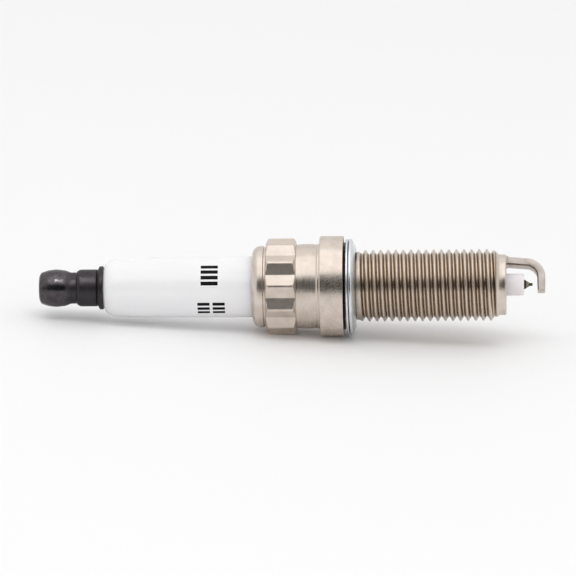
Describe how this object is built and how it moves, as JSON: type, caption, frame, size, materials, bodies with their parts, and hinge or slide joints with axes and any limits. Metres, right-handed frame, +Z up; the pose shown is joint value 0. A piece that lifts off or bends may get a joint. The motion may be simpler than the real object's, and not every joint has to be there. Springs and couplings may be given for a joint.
{
  "type": "spark plug",
  "caption": "Spark plug with a solid snap terminal, white ribless insulator, bi-hex shell, captive gasket, fine-wire tip and bent ground electrode.",
  "frame": {"origin": "on the plug's axis, in the shell's seat plane under the flange", "axes": "+X along the axis towards the firing end, -X towards the terminal, +Z up as the plug lies"},
  "size_m": [0.0835, 0.0164, 0.0164],
  "materials": {
    "nickel_plated_shell": "bright warm nickel plating over turned steel",
    "gasket_steel": "bright zinc-plated folded sheet",
    "nickel_alloy": "satin drawn nickel alloy",
    "glazed_alumina": "clear glaze over white alumina",
    "terminal_metal": "dark grey plated steel, satin",
    "seal_glass": "opaque conductive glass",
    "resistor_body": "matte carbon-loaded glass",
    "copper_core": "plain copper",
    "iridium": "fine-drawn iridium alloy",
    "packing_steel": "plain soft steel",
    "talc": "pressed powder"
  },
  "bodies": {
    "plug": {"shell": "nickel_plated_shell", "ground_electrode": "nickel_alloy", "insulator": "glazed_alumina", "terminal_cap": "terminal_metal", "terminal_stud": "terminal_metal", "upper_glass_seal": "seal_glass", "resistor": "resistor_body", "lower_glass_seal": "seal_glass", "centre_electrode": "nickel_alloy", "electrode_core": "copper_core", "iridium_tip": "iridium", "packing_washer": "packing_steel", "lower_wire_ring": "packing_steel", "talc_ring": "talc", "upper_wire_ring": "packing_steel"},
    "loose_gasket": {"gasket": "gasket_steel"}
  },
  "joints": [
    {"name": "gasket_slide", "type": "slide", "parent": "plug", "child": "loose_gasket", "axis": [1, 0, 0], "range_m": [-0.0001, 0.0005]}
  ]
}
